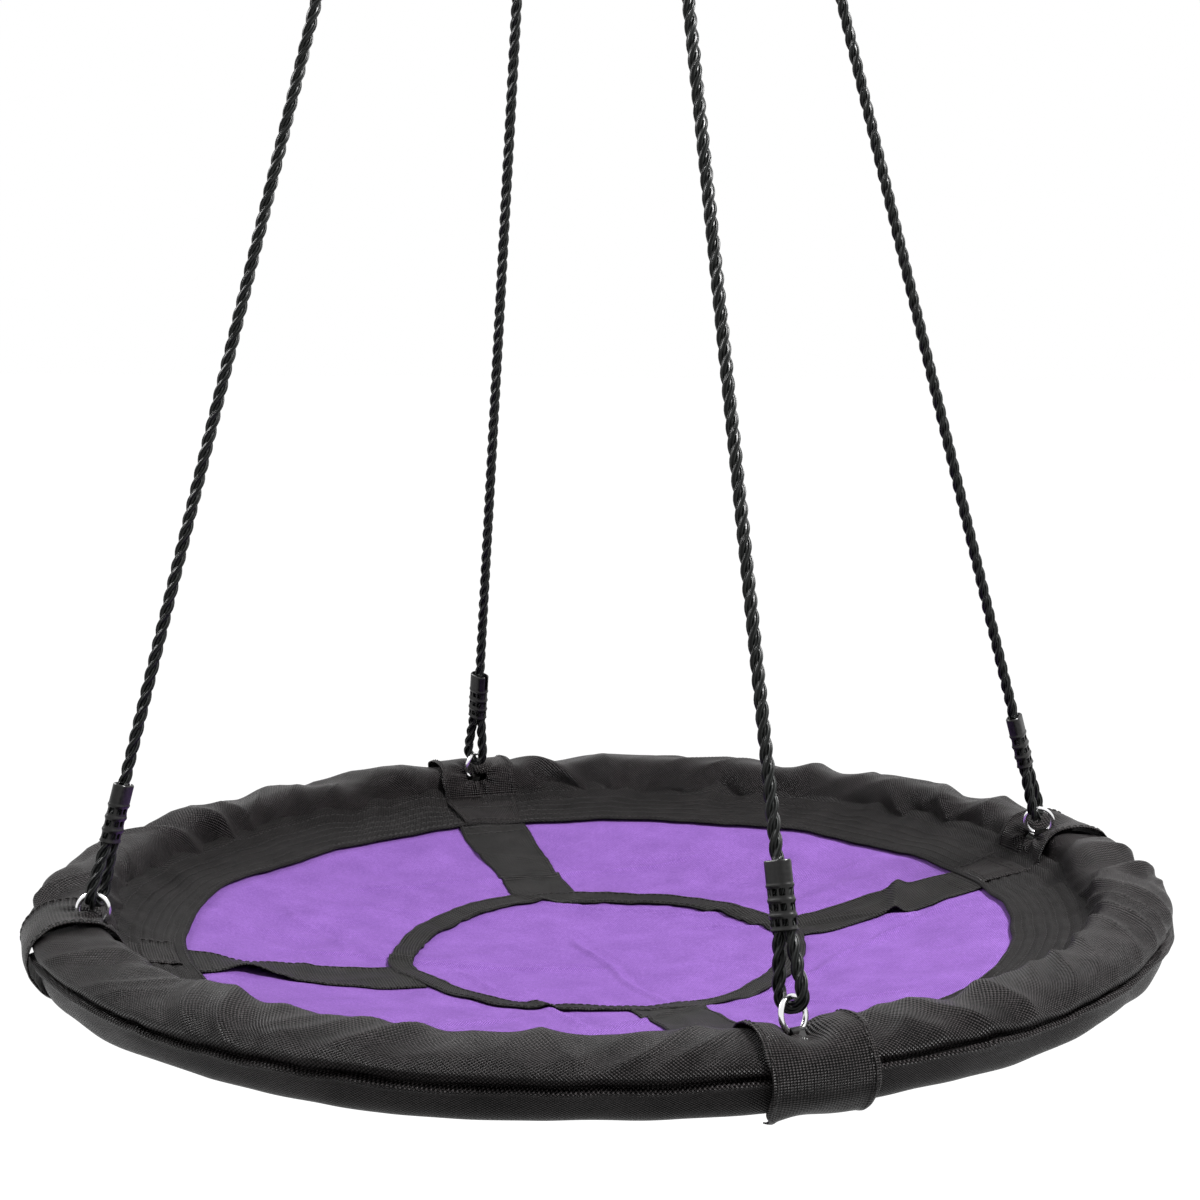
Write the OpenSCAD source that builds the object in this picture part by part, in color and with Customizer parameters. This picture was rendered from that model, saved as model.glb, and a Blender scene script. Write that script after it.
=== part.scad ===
// Round nest swing: a padded tube ring with a sewn fabric seat, hung on four ropes from one carabiner.
// The origin is the centre of the carabiner's top bow, where the swing hangs. +Z is up.
// The bar of the hanging link lies along X, and the four ropes reach the seat half way between the axes.

/* [Seat frame] */
// Radius of the ring that the steel tube follows
ring_r = 464; // [380:1:620]
// Outside diameter of the steel tube
tube_d = 25.4; // [20:0.1:32]
// Wall of the steel tube
tube_wall = 1.5; // [1:0.1:2.5]
// Length of the swaged end that plugs into the next tube
spigot_l = 40; // [25:1:60]
// Diameter of the pins that lock the tube joints
pin_d = 5; // [3:0.5:8]

/* [Rim padding] */
// Width of the padded rim across its cover
pad_w = 72; // [64:1:110]
// Height of the padded rim across its cover
pad_h = 56; // [50:1:63]
// Thickness of the cover fabric
cover_t = 1.5; // [1:0.1:3]
// Gap in the foam and the cover at each rope, along the rim
corner_gap = 48; // [42:1:70]

/* [Seat cloth] */
// How far the middle of the seat hangs below the tube's centre
sag = 60; // [30:1:90]
// Depth below the tube's centre at which the cloth meets the rim
edge_drop = 8; // [0:1:14]
// Thickness of the seat cloth
cloth_t = 1.5; // [1:0.1:3]
// Width of the sewn skirt between the seat mat and the rim
skirt_w = 62; // [40:1:80]
// Outside diameter of the round band at the middle
band_d = 375; // [250:5:450]
// Width of the round band's webbing
band_w = 25; // [15:1:40]
// Width of the four radial straps
strap_w = 62; // [30:1:80]
// Thickness of the webbing
webbing_t = 1.8; // [1:0.1:3]
// Width of each patch that wraps the rim at a rope
patch_w = 85; // [70:1:120]

/* [Ropes] */
// Height of the link's bar above the tube's centre
rope_rise = 1535; // [1000:5:2200]
// Diameter of the twisted rope
rope_d = 10.5; // [8:0.5:11]
// How far each ring's top stands inwards of the circle that the tube follows
eye_in = 23; // [18:1:30]
// Height of each ring's top above the tube's centre
eye_z = 42; // [38:0.5:60]
// Distance between neighbouring ropes on the bar
rope_pitch = 17; // [16:0.5:19]
// Radius of the bend of the lower rope loops
loop_bend = 10.75; // [10.75:0.25:14]
// Length of the lower loops, from ring to clamp
low_loop_l = 46; // [38:1:80]
// Length of the upper loops, from bar to clamp
top_loop_l = 54; // [50:1:90]
// Length of the moulded rope clamps
clamp_l = 50; // [40:1:70]
// Width of the moulded rope clamps
clamp_w = 21.5; // [18:0.5:26]
// Thickness of the moulded rope clamps
clamp_t = 14; // [12:0.5:16]

/* [Steel hardware] */
// Outside diameter of the rings at the seat
seat_ring_d = 30; // [28:0.5:40]
// Wire diameter of the rings at the seat
seat_ring_wire = 4.5; // [3:0.25:5]
// Wire diameter of the hanging link and the carabiner
link_wire = 8; // [7:0.5:9]
// Width of the hanging link, between its wire's centres
link_w = 78; // [76:1:100]
// Height of the hanging link, between its wire's centres
link_h = 46; // [44:1:70]
// Radius of the hanging link's top bow, at the wire's centre
link_bow = 10; // [9:0.5:14]
// Radius of the carabiner's top bow, at the wire's centre
hook_top_r = 11; // [10:0.5:14]
// Radius of the carabiner's lower bow, at the wire's centre
hook_low_r = 16; // [14:0.5:20]
// Distance between the centres of the carabiner's two bows
hook_l = 45; // [44:1:70]
// Diameter of the pin that the gate turns on
gate_pin_d = 3; // [2:0.25:4]

/* [Hidden] */
$fn = 48;

soft_gap = 0.3;      // soft pieces stay this far from what they lie on
steel_gap = 0.3;     // steel loops stay this far from each other
slide_gap = 0.1;     // the swaged end in the next tube
pin_gap = 0.05;      // pins in their holes
bar_gap = 0.6;       // rope round the link's bar, which it turns on
wire_gap = 0.45;     // strap round the seat ring's wire

eye_r = ring_r - eye_in;   // radius of the rings' tops

// Ropes 1 to 4, as seen from the front right: left, back, right, front.
corner = [225, 135, 45, -45];           // where each rope meets the seat
bar_step = [-1.5, -0.5, 1.5, 0.5];      // each rope's place on the bar, in rope pitches
ring_face = [30, 80, 15, 72];           // compass direction that each seat ring lies along
loop_face = [98, -14, 90, -18];         // compass direction that each lower loop lies along
bar_face = 90;                          // the upper loops lie across the bar

tube_r = tube_d / 2;
pad_r = pad_h / 2;
pad_flat = pad_w - pad_h;
inner_edge = ring_r - pad_flat / 2 - sqrt(pow(pad_r, 2) - pow(edge_drop, 2));
skirt_r = inner_edge - soft_gap;
mat_r = skirt_r - skirt_w;
band_r = band_d / 2;
gap_angle = corner_gap / ring_r * 90 / PI;
patch_angle = patch_w / ring_r * 90 / PI;
spigot_angle = spigot_l / ring_r * 180 / PI;

link_r = link_wire / 2;
hook_low_z = -hook_l - hook_low_r;                       // lower bow, at the wire's centre
bar_z = hook_low_z + link_wire + steel_gap - link_h;     // the link's bar
rim_z = bar_z - rope_rise;                               // the tube's centre

ring_r_wire = (seat_ring_d - seat_ring_wire) / 2;
top_bend = link_r + bar_gap + rope_d / 2;
low_bend_lift = loop_bend - rope_d / 2 - seat_ring_wire / 2 - soft_gap;

// The carabiner's bows, in its own plane: across and up from the top bow's centre.
function on_circle(c, r, a) = c + r * [cos(a), sin(a)];
// Direction of the outer tangent from one circle to another, as the angle of its normal.
function tangent_angle(c1, r1, c2, r2) =
  atan2(c2[1] - c1[1], c2[0] - c1[0]) - acos((r1 - r2) / norm(c2 - c1));
hook_side = tangent_angle([0, -hook_l], hook_low_r, [0, 0], hook_top_r);
hinge = on_circle([0, -hook_l], hook_low_r, hook_side);
nose = on_circle([0, 0], hook_top_r, hook_side);
nose_l = 10;                            // the part of the side that belongs to the body
gate_l = norm(nose - hinge) - nose_l;
pin_l = link_wire - 0.4;                // the gate's pin, just inside its faces
gate_end_gap = 0.8;                     // between the gate's end and the nose
tang_t = 3.2;                           // the flattened end of the body in the gate's fork
ear_gap = 0.2;                          // on each side of the tang
fork_l = link_wire * 0.8;               // depth of the gate's fork
spring_d = 3;
spring_gap = 0.3;                       // between the spring and its bore
gate_cap = 8;                           // solid end of the gate beyond the spring's bore

// Height of the seat cloth's top face at radius r, above the tube's centre.
function cloth_z(r) = -sag + (sag - edge_drop) * pow(r / inner_edge, 2);

// The rope's ends and direction.
function rope_low(i) = [eye_r * cos(corner[i]), eye_r * sin(corner[i]), rim_z + eye_z];
function rope_top(i) = [bar_step[i] * rope_pitch, 0, bar_z];
function rope_run(i) = rope_top(i) - rope_low(i);
function rope_l(i) = norm(rope_run(i));
function rope_lean(i) = acos(rope_run(i)[2] / rope_l(i));
function rope_way(i) = atan2(rope_run(i)[1], rope_run(i)[0]);
// Turn about the rope that makes a flat piece lie along a compass direction.
function face_turn(i, face) =
  atan2(sin(face - rope_way(i)), cos(rope_lean(i)) * cos(face - rope_way(i)));

module along_rope(i, distance = 0) {
  translate(rope_low(i)) rotate([0, rope_lean(i), rope_way(i)]) translate([0, 0, distance])
    children();
}

module at_corner(i) {
  translate([0, 0, rim_z]) rotate([0, 0, corner[i]]) children();
}

// A torus in the XZ plane about its own centre.
module wire_ring(r, wire) {
  rotate([90, 0, 0]) rotate_extrude($fn = 64) translate([r, 0]) circle(d = wire, $fn = 32);
}

function arc_points(c, r, from, to, steps) =
  [for (k = [0 : steps]) on_circle(c, r, from + (to - from) * k / steps)];

// A round wire swept along points of the XZ plane, with flat ends or closed on itself.
module bent_wire(points, wire, sides = 16, closed = false) {
  n = len(points);
  function at(k) = closed ? points[(k + n) % n] : points[max(0, min(n - 1, k))];
  function across(k) = let (t = at(k + 1) - at(k - 1)) [-t[1], t[0]] / norm(t);
  corners = [for (k = [0 : n - 1], j = [0 : sides - 1])
    let (a = 360 * j / sides, p = points[k] + across(k) * wire / 2 * cos(a))
      [p[0], wire / 2 * sin(a), p[1]]];
  sides_faces = [for (k = [0 : closed ? n - 1 : n - 2], j = [0 : sides - 1], half = [0, 1])
    let (next = (k + 1) % n, right = (j + 1) % sides)
      half == 0 ? [k * sides + j, k * sides + right, next * sides + right]
                : [k * sides + j, next * sides + right, next * sides + j]];
  ends = closed ? [] : [[for (j = [0 : sides - 1]) sides - 1 - j],
                        [for (j = [0 : sides - 1]) (n - 1) * sides + j]];
  polyhedron(points = corners, faces = concat(sides_faces, ends));
}

// A loop of rope in the XZ plane. It bends round the origin end and its legs meet at height l.
module rope_loop(bend, lift, l) {
  leg_x = rope_d / 2 + 0.1;
  straight = 3;                       // the legs enter the clamp side by side
  rise = l - straight - lift;
  touch = atan2(leg_x, rise) + acos(bend / norm([leg_x, rise]));
  bent_wire(concat([[-leg_x, l], [-leg_x, l - straight]],
    arc_points([0, lift], bend, 90 + touch, 450 - touch, 14),
    [[leg_x, l - straight], [leg_x, l]]), rope_d, 12);
}

module low_loop(i) {
  color([0.10, 0.11, 0.11]) along_rope(i) rotate([0, 0, face_turn(i, loop_face[i])])
    rope_loop(loop_bend, low_bend_lift, low_loop_l);
}

module top_loop(i) {
  color([0.10, 0.11, 0.11]) along_rope(i, rope_l(i)) rotate([0, 0, face_turn(i, bar_face)])
    rotate([180, 0, 0]) rope_loop(top_bend, 0, top_loop_l);
}

module rope(i) {
  low_end = low_loop_l + clamp_l;
  color([0.10, 0.11, 0.11]) along_rope(i, low_end)
    cylinder(h = rope_l(i) - low_end - top_loop_l - clamp_l, d = rope_d);
}

// A moulded clamp: an oval block with a plain collar and three rows of shallow windows.
module rope_clamp() {
  rows = 3;
  collar = clamp_l * 0.36;
  row_l = (clamp_l - collar) / rows;
  window = [clamp_w / 4, clamp_t + 2, row_l * 0.6];
  depth = 1.2;
  difference() {
    linear_extrude(clamp_l) clamp_outline();
    for (row = [0 : rows - 1], x = [-1, 1])
      translate([x * clamp_w / 5.5 - window[0] / 2, -window[1] / 2, row_l * (row + 0.2)])
        difference() {
          cube(window);
          translate([-1, window[1] / 2 - clamp_t / 2 + depth, -1])
            cube([window[0] + 2, clamp_t - 2 * depth, window[2] + 2]);
        }
  }
}

module clamp_outline() {
  for (x = [-1, 1]) translate([x * (clamp_w - clamp_t) / 2, 0]) circle(d = clamp_t);
  square([clamp_w - clamp_t, clamp_t], center = true);
}

module low_clamp(i) {
  color([0.16, 0.16, 0.17]) along_rope(i, low_loop_l)
    rotate([0, 0, face_turn(i, loop_face[i])]) rope_clamp();
}

module top_clamp(i) {
  color([0.16, 0.16, 0.17]) along_rope(i, rope_l(i) - top_loop_l)
    rotate([0, 0, face_turn(i, bar_face)]) rotate([180, 0, 0]) rope_clamp();
}

module ring_wire(i, wire) {
  along_rope(i, -ring_r_wire) rotate([0, 0, face_turn(i, ring_face[i])])
    wire_ring(ring_r_wire, wire);
}

module seat_ring(i) {
  color([0.78, 0.79, 0.80]) ring_wire(i, seat_ring_wire);
}

// Webbing sewn round the tube, with a small loop on top that holds the seat ring.
module anchor_strap(i) {
  strap = 30;                         // width of the webbing on the tube
  bow_r = seat_ring_wire / 2 + wire_gap + webbing_t;
  bow_l = 14;                         // width of the loop that holds the ring
  stem = [8, 12];                     // the sewn webbing between tube and loop
  lean = rope_lean(i);
  ring_low = [eye_r - 2 * ring_r_wire * sin(lean), eye_z - 2 * ring_r_wire * cos(lean)];
  low_r = eye_r + 2 * ring_r_wire * sin(lean);
  away = norm([ring_r - low_r, ring_low[1]]);
  color([0.13, 0.13, 0.13]) difference() {
    union() {
      at_corner(i) translate([ring_r, 0, 0]) {
        rotate([90, 0, 0])
          cylinder(h = strap, r = tube_r + 2 * soft_gap + webbing_t, center = true);
        rotate([0, -atan2(ring_r - low_r, ring_low[1]), 0])
          translate([-stem[0] / 2, -stem[1] / 2, tube_r]) cube([stem[0], stem[1], away - tube_r]);
      }
      along_rope(i, -2 * ring_r_wire) rotate([0, 0, face_turn(i, ring_face[i])])
        rotate([0, 90, 0]) cylinder(h = bow_l, r = bow_r, center = true);
    }
    ring_wire(i, seat_ring_wire + 2 * wire_gap);
    translate([0, 0, rim_z]) rotate_extrude($fn = 128)
      translate([ring_r, 0]) circle(r = tube_r + soft_gap);
  }
}

module tube_arc(outer, inner, angle) {
  rotate_extrude(angle = angle, $fn = 128) translate([ring_r, 0]) difference() {
    circle(d = outer);
    circle(d = inner);
  }
}

// A quarter of the ring. Its swaged end plugs into the open end of the next quarter.
module frame_tube(i) {
  bore = tube_d - 2 * tube_wall;
  swaged = bore - 2 * slide_gap;
  neck_angle = spigot_angle / 4;
  overlap = tube_wall / 3;            // the neck runs into both the wall and the swaged end
  color([0.55, 0.56, 0.58]) translate([0, 0, rim_z]) rotate([0, 0, 90 * i]) difference() {
    union() {
      tube_arc(tube_d, bore, 90);
      rotate([0, 0, 90 - neck_angle]) {
        tube_arc(bore + overlap, swaged - overlap, neck_angle * 0.9);
        rotate([0, 0, neck_angle / 4]) tube_arc(swaged, swaged - 2 * tube_wall,
          neck_angle * 3 / 4 + spigot_angle);
      }
    }
    for (end = [0, 90]) rotate([0, 0, end + spigot_angle / 2])
      translate([ring_r, 0, 0]) cylinder(h = 2 * tube_d, d = pin_d + 2 * pin_gap, center = true);
  }
}

module joint_pins() {
  color([0.45, 0.46, 0.48]) translate([0, 0, rim_z]) for (i = [0 : 3])
    rotate([0, 0, 90 * i + spigot_angle / 2]) translate([ring_r, 0, 0])
      cylinder(h = tube_d - 1, d = pin_d, center = true);
}

// The rim's section, grown by a margin: two half rounds and the flat between them.
module pad_section(margin) {
  for (side = [-1, 1]) translate([side * pad_flat / 2, 0]) circle(r = pad_r + margin);
  square([pad_flat, 2 * (pad_r + margin)], center = true);
}

// A stretch of rim between two corners, from outside one margin to outside another.
module rim_arc(outer, from, to) {
  rotate([0, 0, from]) rotate_extrude(angle = to - from, $fn = 128) translate([ring_r, 0])
    difference() {
      pad_section(outer);
      children();
    }
}

module foam_sleeve(i) {
  color([0.80, 0.80, 0.78]) translate([0, 0, rim_z])
    rim_arc(-cover_t - soft_gap, corner[i] - 90 + gap_angle, corner[i] - gap_angle)
      circle(r = tube_r + soft_gap);
}

module rim_cover(i) {
  color([0.17, 0.16, 0.16]) translate([0, 0, rim_z])
    rim_arc(0, corner[i] - 90 + gap_angle, corner[i] - gap_angle) pad_section(-cover_t);
}

// A strip of the seat cloth's section from radius a to b, its faces a lift and a thickness apart.
module cloth_section(a, b, lift, thick) {
  steps = 8;
  radii = [for (k = [0 : steps]) a + (b - a) * k / steps];
  polygon(concat(
    [for (r = radii) [r, cloth_z(r) + lift]],
    [for (k = [0 : steps]) [radii[steps - k], cloth_z(radii[steps - k]) + lift - thick]]));
}

module cloth(a, b, lift, thick) {
  translate([0, 0, rim_z]) rotate_extrude($fn = 128) cloth_section(a, b, lift, thick);
}

module seat_mat() {
  color([0.64, 0.43, 0.82]) cloth(0, mat_r - soft_gap, 0, cloth_t);
}

module mat_skirt() {
  color([0.15, 0.14, 0.14]) cloth(mat_r, skirt_r, 0, cloth_t);
}

module centre_band() {
  color([0.12, 0.12, 0.12])
    cloth(band_r - band_w, band_r, soft_gap + webbing_t, webbing_t);
}

module radial_strap(i) {
  inner = band_r + soft_gap;
  outer = mat_r + 5;                  // just past the mat's edge, where it is sewn down
  color([0.14, 0.14, 0.14]) intersection() {
    cloth(inner, outer, soft_gap + webbing_t, webbing_t);
    at_corner(i) translate([0, -strap_w / 2, -sag - 10]) cube([ring_r, strap_w, sag + 20]);
  }
}

// A fabric patch round the rim, open where the ring comes out, with a tail sewn down on the skirt.
module wrap_patch(i) {
  tail_r = mat_r + 6;                 // the tail ends just short of the mat
  lift = soft_gap + webbing_t;
  color([0.16, 0.15, 0.15]) difference() {
    at_corner(i) rotate([0, 0, -patch_angle]) {
      rotate_extrude(angle = 2 * patch_angle, $fn = 128) difference() {
        translate([ring_r, 0]) pad_section(soft_gap + webbing_t);
        translate([ring_r, 0]) pad_section(soft_gap);
        cloth_section(tail_r, inner_edge + 2 * soft_gap, soft_gap, cloth_t + 2 * soft_gap);
      }
      rotate_extrude(angle = 2 * patch_angle, $fn = 128) difference() {
        cloth_section(tail_r, inner_edge + 2, lift, webbing_t);
        translate([ring_r, 0]) pad_section(soft_gap + webbing_t / 3);
      }
    }
    along_rope(i, -3 * ring_r_wire)
      cylinder(h = 4 * ring_r_wire + clamp_l, d = seat_ring_d + 6);
  }
}

// The hanging link: a rounded triangle of wire with its flat bar below.
module hanging_link() {
  foot_r = link_wire;
  foot = [link_w / 2 - foot_r, foot_r];
  bow = [0, link_h - link_bow];
  side = tangent_angle(foot, foot_r, bow, link_bow);
  color([0.72, 0.73, 0.75]) translate([0, 0, bar_z])
    bent_wire(concat(arc_points(foot, foot_r, -90, side, 7),
      arc_points(bow, link_bow, side, 180 - side, 10),
      arc_points([-foot[0], foot[1]], foot_r, 180 - side, 270, 7)), link_wire, closed = true);
}

// The carabiner lies in the YZ plane, so it is drawn in XZ and turned. Its gate is on +Y.
// Children drawn in XZ come to lie in the carabiner's plane, or at the gate's pin, +Z up the gate.
module hook_plane() {
  rotate([0, 0, 90]) children();
}

module gate_frame() {
  hook_plane() translate([hinge[0], 0, hinge[1]]) rotate([0, -hook_side, 0]) children();
}

module pin_hole(d, h) {
  rotate([90, 0, 0]) cylinder(h = h, d = d, center = true);
}

module carabiner_body() {
  along_side = (nose - hinge) / norm(nose - hinge);
  color([0.72, 0.73, 0.75]) difference() {
    union() {
      hook_plane() bent_wire(concat(
        arc_points([0, -hook_l], hook_low_r, hook_side, -180 - hook_side, 20),
        arc_points([0, 0], hook_top_r, 180 - hook_side, hook_side, 14),
        [hinge + along_side * (gate_l + gate_end_gap)]), link_wire);
      gate_frame() pin_hole(pin_l, tang_t);
    }
    gate_frame() {
      for (side = [-1, 1]) translate([0, side * (tang_t / 2 + link_wire / 2), 0])
        pin_hole(link_wire + 2 * (spring_gap * 2), link_wire);
      pin_hole(gate_pin_d + 2 * pin_gap, link_wire * 2);
    }
  }
}

module carabiner_gate() {
  color([0.66, 0.67, 0.69]) gate_frame() difference() {
    union() {
      cylinder(h = gate_l, d = link_wire, $fn = 32);
      intersection() {
        pin_hole(link_wire, link_wire);
        translate([0, 0, -link_wire / 2]) cylinder(h = link_wire, d = link_wire, $fn = 32);
      }
    }
    translate([-link_wire, -tang_t / 2 - ear_gap, -link_wire])
      cube([2 * link_wire, tang_t + 2 * ear_gap, link_wire + fork_l]);
    pin_hole(gate_pin_d + 2 * pin_gap, link_wire * 2);
    cylinder(h = gate_l - gate_cap, d = spring_d + 2 * spring_gap);
  }
}

module gate_pin() {
  color([0.5, 0.5, 0.52]) gate_frame() pin_hole(gate_pin_d, pin_l);
}

// The spring sits in the gate's bore, above the tang that it pushes on.
module gate_spring() {
  start = fork_l - 1;
  color([0.45, 0.46, 0.48]) gate_frame() translate([0, 0, start]) difference() {
    cylinder(h = gate_l - gate_cap - start, d = spring_d);
    translate([0, 0, -1]) cylinder(h = gate_l, d = spring_d - 1);
  }
}

carabiner_body();
carabiner_gate();
gate_pin();
gate_spring();
hanging_link();
rope(0);  // rope_1
rope(1);  // rope_2
rope(2);  // rope_3
rope(3);  // rope_4
top_loop(0);  // top_loop_1
top_loop(1);  // top_loop_2
top_loop(2);  // top_loop_3
top_loop(3);  // top_loop_4
low_loop(0);  // low_loop_1
low_loop(1);  // low_loop_2
low_loop(2);  // low_loop_3
low_loop(3);  // low_loop_4
top_clamp(0);  // top_clamp_1
top_clamp(1);  // top_clamp_2
top_clamp(2);  // top_clamp_3
top_clamp(3);  // top_clamp_4
low_clamp(0);  // low_clamp_1
low_clamp(1);  // low_clamp_2
low_clamp(2);  // low_clamp_3
low_clamp(3);  // low_clamp_4
seat_ring(0);  // seat_ring_1
seat_ring(1);  // seat_ring_2
seat_ring(2);  // seat_ring_3
seat_ring(3);  // seat_ring_4
anchor_strap(0);  // anchor_strap_1
anchor_strap(1);  // anchor_strap_2
anchor_strap(2);  // anchor_strap_3
anchor_strap(3);  // anchor_strap_4
frame_tube(0);  // frame_tube_1
frame_tube(1);  // frame_tube_2
frame_tube(2);  // frame_tube_3
frame_tube(3);  // frame_tube_4
joint_pins();
foam_sleeve(0);  // foam_sleeve_1
foam_sleeve(1);  // foam_sleeve_2
foam_sleeve(2);  // foam_sleeve_3
foam_sleeve(3);  // foam_sleeve_4
rim_cover(0);  // rim_cover_1
rim_cover(1);  // rim_cover_2
rim_cover(2);  // rim_cover_3
rim_cover(3);  // rim_cover_4
wrap_patch(0);  // wrap_patch_1
wrap_patch(1);  // wrap_patch_2
wrap_patch(2);  // wrap_patch_3
wrap_patch(3);  // wrap_patch_4
mat_skirt();
seat_mat();
centre_band();
radial_strap(0);  // radial_strap_1
radial_strap(1);  // radial_strap_2
radial_strap(2);  // radial_strap_3
radial_strap(3);  // radial_strap_4
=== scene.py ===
"""A round nest swing: padded rim, sewn seat, four twisted ropes, hanging link and carabiner.

Metres, in the CAD model's frame: the origin is the carabiner's top bow and +Z is up.
"""

import math

import bmesh
import bpy
import numpy as np
from mathutils import Matrix, Vector, noise


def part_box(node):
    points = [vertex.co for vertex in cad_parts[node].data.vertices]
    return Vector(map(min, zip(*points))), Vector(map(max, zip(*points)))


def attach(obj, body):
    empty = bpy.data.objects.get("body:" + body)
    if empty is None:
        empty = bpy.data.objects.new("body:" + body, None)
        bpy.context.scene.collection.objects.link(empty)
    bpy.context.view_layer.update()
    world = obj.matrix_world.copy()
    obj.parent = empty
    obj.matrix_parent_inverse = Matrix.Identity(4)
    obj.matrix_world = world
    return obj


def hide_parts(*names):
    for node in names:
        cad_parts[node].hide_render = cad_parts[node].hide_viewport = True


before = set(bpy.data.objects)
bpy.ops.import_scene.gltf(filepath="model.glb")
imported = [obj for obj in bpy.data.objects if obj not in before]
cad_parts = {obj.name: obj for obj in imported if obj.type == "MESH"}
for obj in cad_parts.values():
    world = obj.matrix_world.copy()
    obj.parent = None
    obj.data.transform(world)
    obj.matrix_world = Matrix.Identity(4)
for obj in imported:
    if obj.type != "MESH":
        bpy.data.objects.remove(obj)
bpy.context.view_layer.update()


# ---------------------------------------------------------------- sizes
def middle(node):
    """Centre of a CAD node's box."""
    low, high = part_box(node)
    return (low + high) / 2


RIM_Z = middle("frame_tube_1").z        # plane of the rim's tube
RING_R = 0.464                          # radius that the tube follows
PAD_R, PAD_FLAT = 0.028, 0.008          # rim section: half height, and half of its flat
CORNER_GAP = 0.048                      # gap in foam and cover at each rope
SAG, EDGE_DROP = 0.060, 0.008           # seat cloth below the tube's centre, middle and edge
CLOTH_T, WEB_T = 0.0015, 0.0018         # thickness of the cloth and of the round band
CLEAR = 0.0003                          # gap between pieces that lie against each other
INNER_EDGE = RING_R - PAD_FLAT - math.sqrt(PAD_R**2 - EDGE_DROP**2)     # where cloth meets rim
SKIRT_W = 0.062
MAT_R = INNER_EDGE - CLEAR - SKIRT_W
BAND_R, BAND_W = 0.1875, 0.025          # round band: outer radius and width
STRAP_W = 0.062
PATCH_W = 0.085

ROPE_D = 0.0105
BAR_WIRE = 0.008                        # the hanging link's wire
BAR_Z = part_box("hanging_link")[0].z + BAR_WIRE / 2
EYE_R, EYE_Z = 0.441, 0.0420            # top of each seat ring: radius, and height over RIM_Z
ROPE_PITCH = 0.017                      # from rope to rope along the bar
LOW_LOOP, TOP_LOOP = 0.046, 0.054       # from the ring's top or the bar's centre to the clamp
LOW_BEND, TOP_BEND = 0.01075, 0.00985   # bend radii of the rope loops
RING_D, RING_WIRE = 0.030, 0.0045
CLAMP_L, CLAMP_W, CLAMP_T = 0.050, 0.0215, 0.014

CORNERS = [225, 135, 45, -45]           # compass angle of ropes 1 to 4: left, back, right, front
BAR_STEP = [-1.5, -0.5, 1.5, 0.5]       # each rope's place on the bar, in rope pitches
RING_FACE = [30, 80, 15, 72]            # compass angle of each ring's width
LOOP_FACE = [98, -14, 90, -18]          # and of each ring loop's and low clamp's
BAR_FACE = 90                           # and of every bar loop's and top clamp's
CORNER_DIP = [0.004, 0.004, 0.012, 0.014]      # how deep the patch is drawn in at each ring


def cloth_z(r):
    """Height of the seat cloth at radius r, above the tube's centre."""
    return -SAG + (SAG - EDGE_DROP) * (r / INNER_EDGE) ** 2


# ---------------------------------------------------------------- camera
def camera():
    """A low three-quarter view of the seat. climb and distance are taken from the rim's centre."""
    turn = math.radians(27.3)
    distance, climb = 1.940, math.radians(15.65)
    yaw, pitch, roll = math.radians(0.10), math.radians(7.80), math.radians(-0.62)
    place = Vector((0, -distance * math.cos(climb), distance * math.sin(climb)))
    forward = Vector((math.sin(yaw) * math.cos(pitch), math.cos(yaw) * math.cos(pitch),
                      -math.sin(pitch)))
    right = Vector((math.cos(yaw), -math.sin(yaw), 0))
    up = right.cross(forward)
    right, up = (math.cos(roll) * right + math.sin(roll) * up,
                 math.cos(roll) * up - math.sin(roll) * right)
    looks = Matrix((right, up, -forward)).transposed().to_4x4()
    data = bpy.data.cameras.new("camera")
    data.sensor_width, data.lens = 36, 64.0
    data.clip_start, data.clip_end = 0.05, 60
    made = bpy.data.objects.new("camera", data)
    made.matrix_world = (Matrix.Translation((0, 0, RIM_Z)) @ Matrix.Rotation(turn, 4, "Z")
                         @ Matrix.Translation(place) @ looks)
    bpy.context.collection.objects.link(made)
    bpy.context.scene.camera = made


camera()


# ---------------------------------------------------------------- meshes
TINY = 1e-12           # keeps a length that is divided by above zero


def new_object(name, verts, faces, uvs=None):
    """A mesh object. uvs holds one pair for each vertex."""
    mesh = bpy.data.meshes.new(name)
    mesh.from_pydata([tuple(v) for v in verts], [], [tuple(f) for f in faces])
    mesh.polygons.foreach_set("use_smooth", [True] * len(mesh.polygons))
    if uvs is not None:
        layer = mesh.uv_layers.new(name="cloth")
        picked = np.asarray(uvs, dtype=np.float32)[[l.vertex_index for l in mesh.loops]]
        layer.data.foreach_set("uv", picked.ravel())
    mesh.update()
    made = bpy.data.objects.new(name, mesh)
    bpy.context.collection.objects.link(made)
    return made


def grid_faces(n, m, start=0, closed=False, flip=False):
    """Quads of an n by m grid of vertices. closed joins the last column to the first."""
    faces = []
    for i in range(n - 1):
        for j in range(m if closed else m - 1):
            k = (j + 1) % m
            quad = (start + i * m + j, start + (i + 1) * m + j,
                    start + (i + 1) * m + k, start + i * m + k)
            faces.append(quad[::-1] if flip else quad)
    return faces


def end_caps(n, m, start=0):
    """Faces that close both ends of a grid whose columns run round it."""
    last = start + (n - 1) * m
    return [tuple(range(start, start + m)), tuple(reversed(range(last, last + m)))]


def hollow_faces(n, m):
    """Faces of a tube with a wall: an outer grid, an inner grid and the two ends between them."""
    faces = grid_faces(n, m, closed=True, flip=True) + grid_faces(n, m, n * m, closed=True)
    for j in range(m):
        k = (j + 1) % m
        faces.append((j, n * m + j, n * m + k, k))
        a, b = (n - 1) * m + j, (n - 1) * m + k
        faces.append((a, b, n * m + b, n * m + a))
    return faces


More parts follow.
